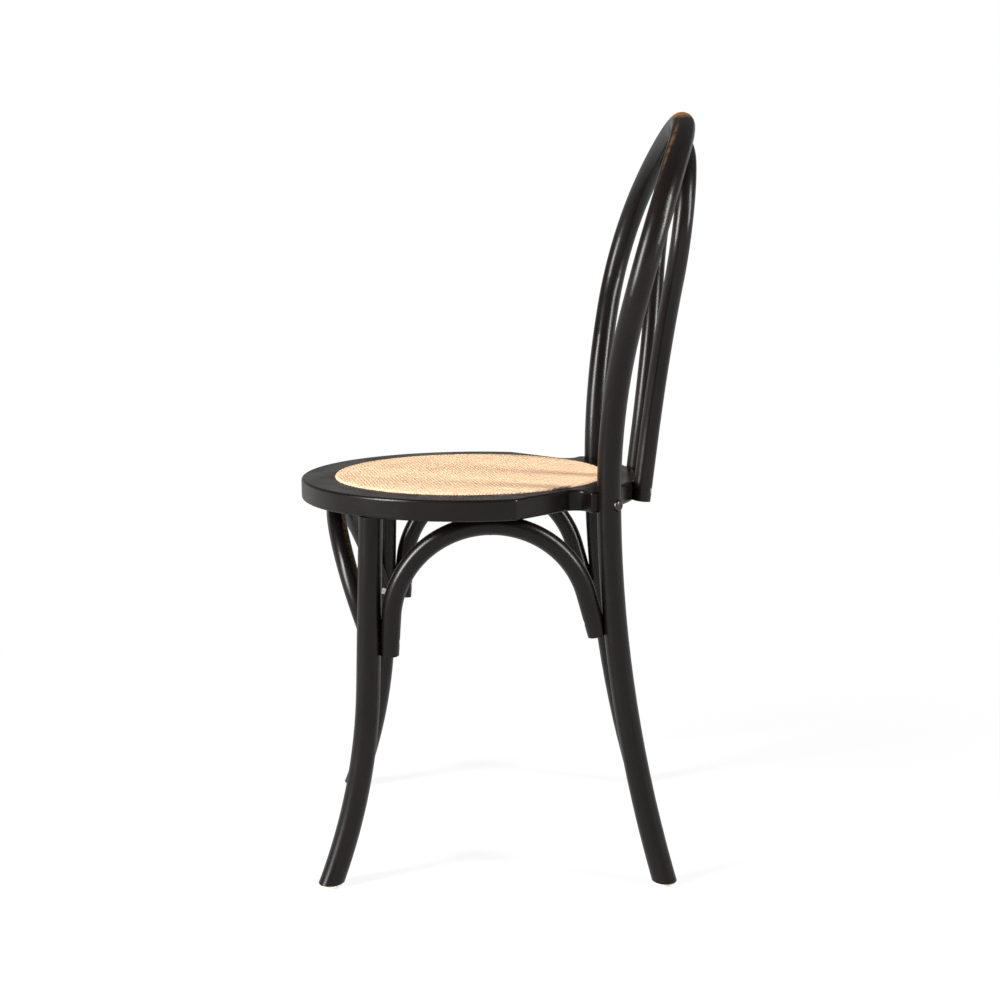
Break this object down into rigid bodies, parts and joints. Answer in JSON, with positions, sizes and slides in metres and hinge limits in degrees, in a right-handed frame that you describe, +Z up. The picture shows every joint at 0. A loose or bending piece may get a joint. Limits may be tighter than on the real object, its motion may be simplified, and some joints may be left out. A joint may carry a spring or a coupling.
{
  "type": "bentwood bistro chair",
  "caption": "Armless bentwood chair with a round woven cane seat, a hooped back with an inner loop, splayed round legs and arched braces.",
  "frame": {"origin": "on the floor, under the middle of the bounding box", "axes": "+Z up, -Y the way the sitter faces, +X the sitter's left"},
  "size_m": [0.4436, 0.4738, 0.8865],
  "materials": {
    "lacquered_wood": "bent hardwood in a smooth semi-gloss black lacquer",
    "woven_cane": "close-woven natural rattan, matt",
    "plywood": "plain unfinished plywood",
    "steel": "zinc-plated steel",
    "nylon": "pale matt nylon"
  },
  "bodies": {
    "root": {"back_hoop": "lacquered_wood", "inner_back_loop": "lacquered_wood", "front_leg_left": "lacquered_wood", "front_leg_right": "lacquered_wood", "seat_ring": "lacquered_wood", "side_brace_left": "lacquered_wood", "side_brace_right": "lacquered_wood", "front_brace": "lacquered_wood", "cane_mat": "woven_cane", "seat_board": "plywood", "hoop_bolts": "steel", "hoop_bolt_washers": "steel", "hoop_bolt_nuts": "steel", "brace_end_screws": "steel", "brace_top_screws": "steel", "loop_seat_screws": "steel", "loop_crown_screw": "steel", "panel_screws": "steel", "glide_nails": "steel", "glide_front_left": "nylon", "glide_front_right": "nylon", "glide_rear_left": "nylon", "glide_rear_right": "nylon"}
  },
  "joints": []
}
